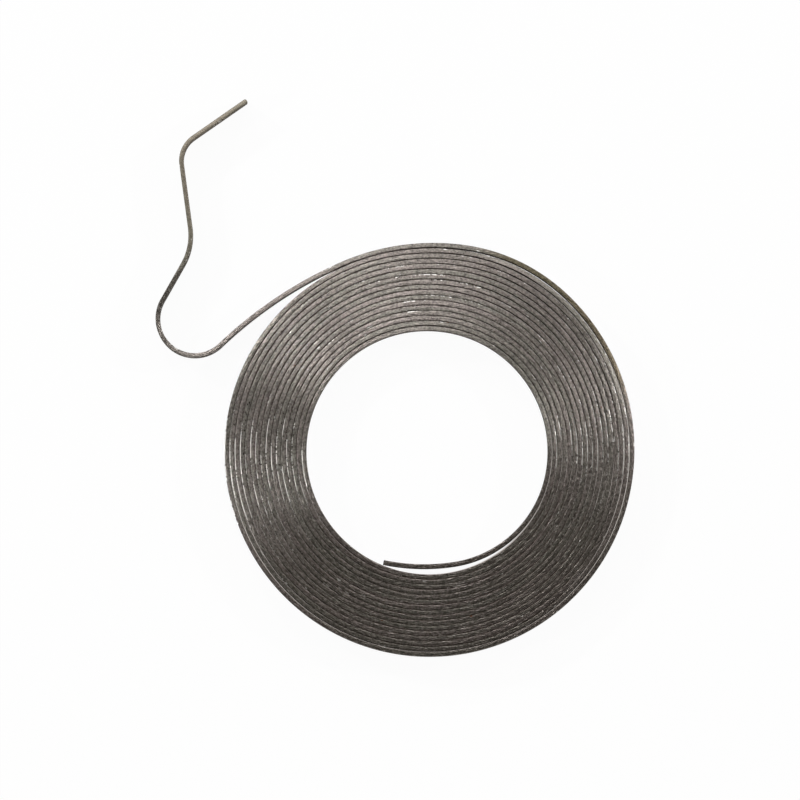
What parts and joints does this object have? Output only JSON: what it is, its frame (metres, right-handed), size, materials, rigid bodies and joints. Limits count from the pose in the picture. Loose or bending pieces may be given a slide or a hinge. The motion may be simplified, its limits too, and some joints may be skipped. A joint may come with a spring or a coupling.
{
  "type": "feeder spring",
  "caption": "Flat spiral spring of close-wound strip steel with a formed hook on its free outer end, for a tape or card feeder drive.",
  "frame": {"origin": "on the coil's axis, at the level of the lower strip edges that it lies on", "axes": "+Z along the coil's axis, away from the surface it lies on; +Y towards the free tip of the hook, which stands on the -X side of the coil"},
  "size_m": [0.0479, 0.0557, 0.004],
  "materials": {
    "spring_steel": "satin, rolled strip with dressed edges"
  },
  "bodies": {
    "root": {"spiral_spring": "spring_steel"}
  },
  "joints": []
}
